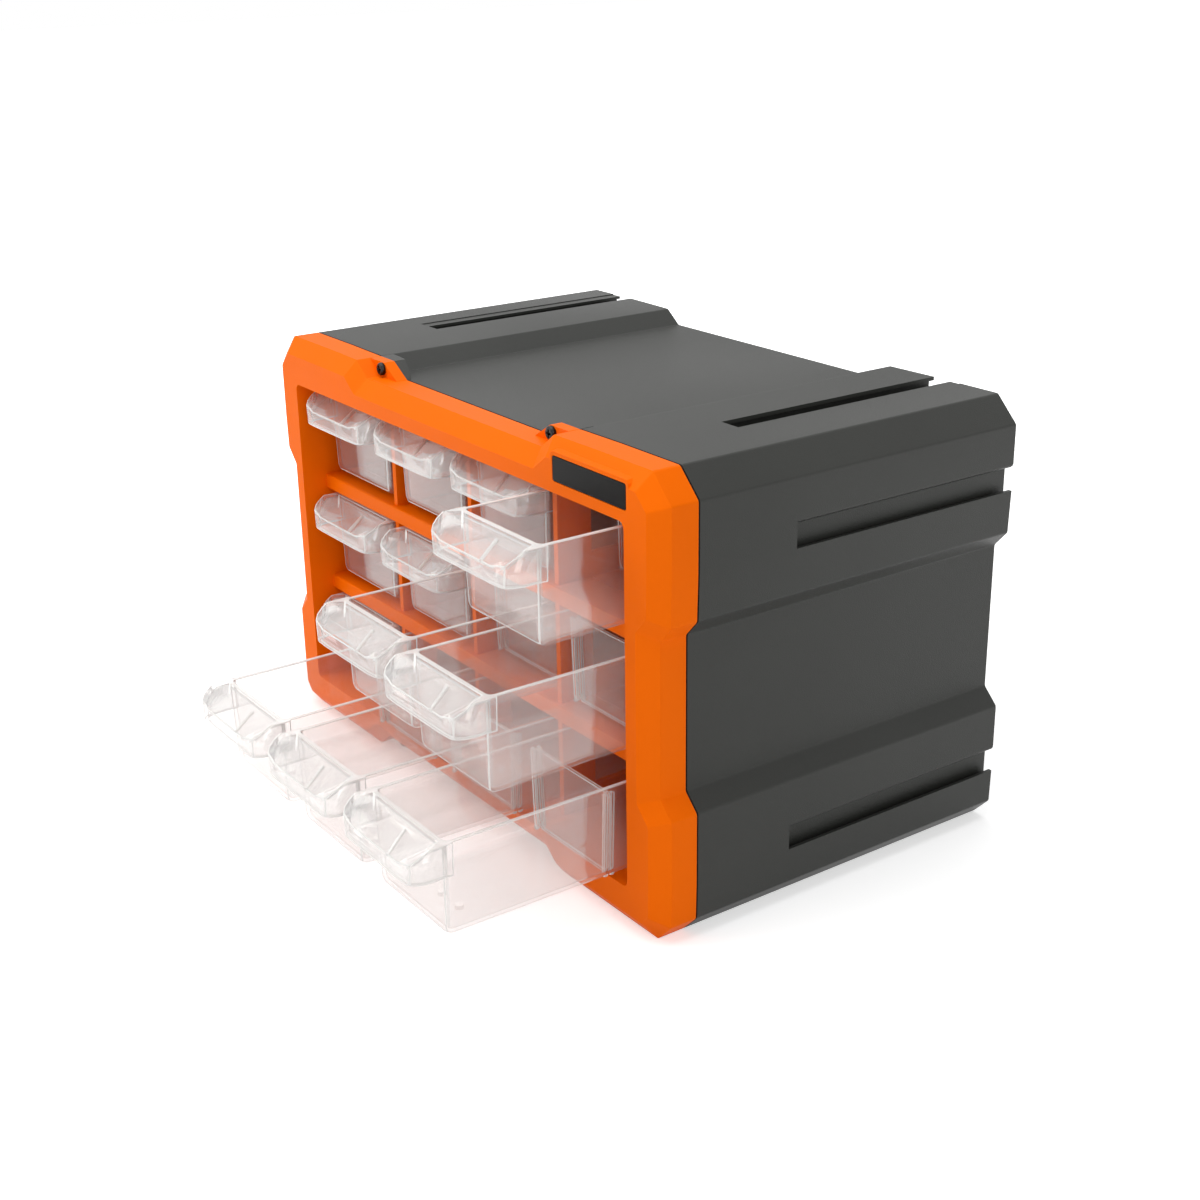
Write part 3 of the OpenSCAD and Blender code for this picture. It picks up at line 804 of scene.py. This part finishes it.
@dataclass
class CabinetShell:
    """The charcoal housing with its orange shelves, the bezel, the badge plate and the screws."""

    finishes: Finishes
    housing_edge: EdgeSoftening = field(default_factory=lambda: EdgeSoftening(0.5 * MM))
    bezel_edge: EdgeSoftening = field(default_factory=lambda: EdgeSoftening(0.6 * MM))
    badge_edge: EdgeSoftening = field(default_factory=lambda: EdgeSoftening(0.15 * MM))
    screw_edge: EdgeSoftening = field(default_factory=lambda: EdgeSoftening(0.06 * MM, segments=1))
    shelf_tops: tuple[float, ...] = (16.4 * MM, 61.6 * MM, 106.8 * MM)
    shelf_front: float = -52.5 * MM
    shelf_thickness: float = 2.0 * MM
    shelf_half: float = 124.5 * MM
    shelf_slack: float = 0.6 * MM
    front_slack: float = 1.0 * MM
    front_depth: float = 2.0 * MM
    wall_depth: float = 2.0 * MM
    partly_turned: float = 0.5
    fully_turned: float = 0.9

    def build(self) -> list[bpy.types.Object]:
        """Builds and seats the four pieces.

        Returns:
            The pieces.
        """
        charcoal, orange = self.finishes.charcoal, self.finishes.orange
        jobs = [
            ("housing", self.housing_edge, [charcoal, orange], Slot.CHARCOAL),
            ("bezel", self.bezel_edge, [orange], Slot.ORANGE),
            ("badge_plate", self.badge_edge, [self.finishes.badge], Slot.BADGE),
            ("bezel_screws", self.screw_edge, [self.finishes.screw], Slot.SCREW),
        ]
        return [self._dress(*job) for job in jobs]

    def _dress(
        self, node: str, softening: EdgeSoftening, skins: list[bpy.types.Material], slot: Slot
    ) -> bpy.types.Object:
        """Dresses one node.

        Args:
            node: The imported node's name.
            softening: How its edges are rounded.
            skins: Its finish, and one for its shelves where they have their own.
            slot: The record's material slot.

        Returns:
            The seated piece.
        """
        mesh = softening.open_mesh(node)
        edges = softening.soften(mesh)
        if len(skins) > 1:
            for face in mesh.faces:
                if self._on_shelf(face):
                    face.material_index = 1
        piece = softening.close(mesh, f"{node}_dressed", edges, skins)
        return seat(piece, Body.CABINET.value, slot, node)

    def _on_shelf(self, face: bmesh.types.BMFace) -> bool:
        """Tells whether a face of the housing belongs to a shelf or to the bays' side walls.

        Args:
            face: The face to judge.

        Returns:
            True where the face is orange.
        """
        middle = face.calc_center_median()
        aside = abs(middle.x)
        if middle.y < self.shelf_front - self.front_slack or aside > self.shelf_half:
            return False
        faces_along = abs(face.normal.y) > self.partly_turned
        if faces_along and middle.y > self.shelf_front + self.front_depth:
            return False
        faces_aside = abs(face.normal.x) > self.fully_turned
        on_wall = aside > self.shelf_half - self.wall_depth
        if faces_aside and on_wall and middle.z > self.shelf_tops[0]:
            return True
        below = self.shelf_thickness + self.shelf_slack
        return any(
            top - below < middle.z < top + self.shelf_slack for top in self.shelf_tops
        )


# ------------------------------------------------------------------ drawers


@dataclass
class DrawerBank:
    """Twelve frosted drawers with their partition plates."""

    finishes: Finishes
    rows: int = 3
    columns: int = 4
    shape: EdgeSoftening = field(default_factory=lambda: EdgeSoftening(0.0))
    # bars of painted highlight along the edges of the drawers and the plates
    line: PaintedHighlightBead = field(default_factory=PaintedHighlightBead)
    plate_line: PaintedHighlightBead = field(default_factory=lambda: PaintedHighlightBead(width=0.3 * MM))
    corner_low: float = 0.6
    corner_high: float = 0.8
    ear_rise: float = 4.2 * MM
    hood_depth: float = 12.2 * MM
    rear_wall: float = 2.5 * MM
    floor_height: float = 4.0 * MM
    rim_slack: float = 0.5 * MM
    upright_most: float = 0.3
    level_least: float = 0.9

    def build(self) -> list[bpy.types.Object]:
        """Builds and seats every drawer and partition.

        Returns:
            The pieces.
        """
        made = []
        for row in range(1, self.rows + 1):
            for column in range(1, self.columns + 1):
                place = f"r{row}c{column}"
                made.append(self._drawer(place))
                made.append(self._partition(place))
        return made

    def _drawer(self, place: str) -> bpy.types.Object:
        """Dresses one drawer.

        Args:
            place: Its row and column, as in r1c4.

        Returns:
            The seated piece.
        """
        node = f"drawer_{place}"
        mesh = self.shape.open_mesh(node)
        self._mark_skins(mesh, node)
        self.line.add(mesh)
        finishes = self.finishes
        skins = [
            finishes.frosted,
            finishes.frosted_painted_highlight,
            finishes.frosted_floor,
            finishes.frosted_hood,
            finishes.frosted_rear_painted_shade,
        ]
        piece = self.shape.close(mesh, f"{node}_dressed", [], skins)
        return seat(piece, f"bin_{place}", Slot.FROSTED, node)

    def _mark_skins(self, mesh: bmesh.types.BMesh, node: str) -> None:
        """Gives each face of a drawer its skin.

        Args:
            mesh: The drawer's mesh.
            node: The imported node's name.
        """
        low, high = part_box(node)
        rim = high.z - self.ear_rise
        for face in mesh.faces:
            turned = face.normal
            middle = face.calc_center_median()
            upright = abs(turned.z) < self.upright_most
            if middle.y < low.y + self.hood_depth:
                face.material_index = DrawerSkin.HOOD.value
            elif upright and self.corner_low < abs(turned.x) < self.corner_high:
                face.material_index = DrawerSkin.HOOD.value
            elif abs(turned.z) > self.level_least and middle.z < low.z + self.floor_height:
                face.material_index = DrawerSkin.FLOOR.value
            # the rear wall takes the darker, clearer painted shade skin
            elif upright and middle.y > high.y - self.rear_wall:
                face.material_index = DrawerSkin.REAR_PAINTED_SHADE.value
            # the rim's top takes the painted highlight skin
            elif turned.z > self.level_least and abs(middle.z - rim) < self.rim_slack:
                face.material_index = DrawerSkin.EDGE.value

    def _partition(self, place: str) -> bpy.types.Object:
        """Dresses one partition plate.

        Args:
            place: Its row and column, as in r1c4.

        Returns:
            The seated piece.
        """
        node = f"partition_{place}"
        mesh = self.shape.open_mesh(node)
        self.plate_line.add(mesh)
        # the plate takes the painted shade skin, and its edge bars take the painted highlight
        skins = [self.finishes.frosted_rear_painted_shade, self.finishes.frosted_painted_highlight]
        piece = self.shape.close(mesh, f"{node}_dressed", [], skins)
        return seat(piece, f"bin_{place}", Slot.FROSTED, node)


# ------------------------------------------------------------------ studio


@dataclass(frozen=True)
class Softbox:
    """A square soft lamp: its place, its side in metres and its power in watts."""

    name: str
    place: tuple[float, float, float]
    size: float
    power: float


@dataclass
class Studio:
    """Pale floor, white surroundings, soft lamps and the camera."""

    lamps: tuple[Softbox, ...] = (
        Softbox("overhead_softbox", (-0.25, -0.25, 1.5), 1.5, 18.0),
        Softbox("front_softbox", (-0.9, -1.35, 0.9), 1.2, 8.4),
        Softbox("side_fill", (1.7, -0.5, 0.8), 1.2, 7.5),
    )
    lamps_aim: tuple[float, float, float] = (0.0, 0.0, 0.08)
    floor_colour: Colour = (0.86, 0.86, 0.86)
    floor_roughness: float = 0.9
    floor_specular: float = 0.1
    floor_drop: float = 0.05 * MM
    floor_glow_near: float = 0.5
    floor_glow_far: float = 1.0
    glow_starts: float = 0.3
    glow_full: float = 0.85
    floor_size: float = 12.0
    sky_level: float = 0.42
    azimuth_deg: float = 54.803
    elevation_deg: float = 21.023
    roll_deg: float = -0.906
    lens_mm: float = 52.71
    distance: float = 0.6926
    target: tuple[float, float, float] = (0.0070, -0.0130, 0.0731)

    def build(self) -> None:
        """Builds the floor, the world, the lamps and the camera."""
        self._floor()
        self._world()
        for softbox in self.lamps:
            self._hang(softbox)
        self._camera()

    def _floor(self) -> None:
        """Lays the pale floor, which keeps the object's shadow."""
        half = self.floor_size / 2
        data = bpy.data.meshes.new("studio_floor")
        corners = [(-half, -half, 0), (half, -half, 0), (half, half, 0), (-half, half, 0)]
        data.from_pydata(corners, [], [(0, 1, 2, 3)])
        floor = bpy.data.objects.new("studio_floor", data)
        floor.location.z = -self.floor_drop
        bpy.context.scene.collection.objects.link(floor)
        material, wiring, shader = new_material("pale_floor")
        shader.inputs["Base Color"].default_value = (*self.floor_colour, 1.0)
        shader.inputs["Roughness"].default_value = self.floor_roughness
        shader.inputs["Specular IOR Level"].default_value = self.floor_specular
        away = wiring.add("ShaderNodeVectorMath", operation="LENGTH")
        wiring.join(wiring.add("ShaderNodeTexCoord").outputs["Object"], away.inputs[0])
        ends = (self.glow_starts, self.glow_full, self.floor_glow_near, self.floor_glow_far)
        glow = wiring.ramp(away.outputs["Value"], *ends)
        shader.inputs["Emission Color"].default_value = WHITE
        shown = wiring.maths("MULTIPLY", seen_by_rays(wiring), glow)
        wiring.join(shown, shader.inputs["Emission Strength"])
        data.materials.append(material)

    def _world(self) -> None:
        """Sets soft light from all round, with white where the camera looks past the object."""
        world = bpy.data.worlds.new("studio_world")
        bpy.context.scene.world = world
        world.use_nodes = True
        wiring = Wiring(world.node_tree)
        background = world.node_tree.nodes["Background"]
        background.inputs["Color"].default_value = WHITE
        level = wiring.ramp(seen_by_rays(wiring), 0.0, 1.0, self.sky_level, 1.0)
        wiring.join(level, background.inputs["Strength"])

    def _hang(self, softbox: Softbox) -> None:
        """Hangs one lamp, turned towards the object.

        Args:
            softbox: The lamp.
        """
        data = bpy.data.lights.new(softbox.name, "AREA")
        data.shape = "SQUARE"
        data.size = softbox.size
        data.energy = softbox.power
        lamp = bpy.data.objects.new(softbox.name, data)
        lamp.location = softbox.place
        towards = Vector(self.lamps_aim) - Vector(softbox.place)
        lamp.rotation_euler = towards.to_track_quat("-Z", "Y").to_euler()
        bpy.context.scene.collection.objects.link(lamp)

    def _camera(self) -> None:
        """Sets the camera at the photograph's angle."""
        azimuth, elevation = math.radians(self.azimuth_deg), math.radians(self.elevation_deg)
        back = Vector((
            math.sin(azimuth) * math.cos(elevation),
            -math.cos(azimuth) * math.cos(elevation),
            math.sin(elevation),
        ))
        right = Vector((0, 0, 1)).cross(back).normalized()
        up = back.cross(right)
        roll = math.radians(self.roll_deg)
        rolled_right = math.cos(roll) * right + math.sin(roll) * up
        rolled_up = back.cross(rolled_right)
        data = bpy.data.cameras.new("photo_camera")
        data.sensor_width = 36.0
        data.lens = self.lens_mm
        camera = bpy.data.objects.new("photo_camera", data)
        turned = Matrix((rolled_right, rolled_up, back)).transposed().to_4x4()
        place = Vector(self.target) + back * self.distance
        camera.matrix_world = Matrix.Translation(place) @ turned
        bpy.context.scene.collection.objects.link(camera)
        bpy.context.scene.camera = camera


def seen_by_rays(wiring: Wiring) -> bpy.types.NodeSocket:
    """Tells rays that show the surroundings from rays that only light the object.

    Args:
        wiring: The tree to add the nodes to.

    Returns:
        A socket that is 1 for camera, glossy and transmission rays.
    """
    path = wiring.add("ShaderNodeLightPath")
    camera, glossy = path.outputs["Is Camera Ray"], path.outputs["Is Glossy Ray"]
    first = wiring.maths("MAXIMUM", camera, glossy)
    return wiring.maths("MAXIMUM", first, path.outputs["Is Transmission Ray"])


def main() -> None:
    """Builds the studio and every piece."""
    logging.basicConfig(level=logging.INFO, format="%(message)s")
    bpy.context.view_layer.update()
    bpy.context.scene.view_settings.view_transform = "Standard"
    bpy.context.scene.cycles.transparent_max_bounces = SHEETS_IN_LINE
    Studio().build()
    finishes = make_finishes()
    CabinetShell(finishes).build()
    DrawerBank(finishes).build()
    bpy.context.view_layer.update()


if __name__ == "__main__":
    main()
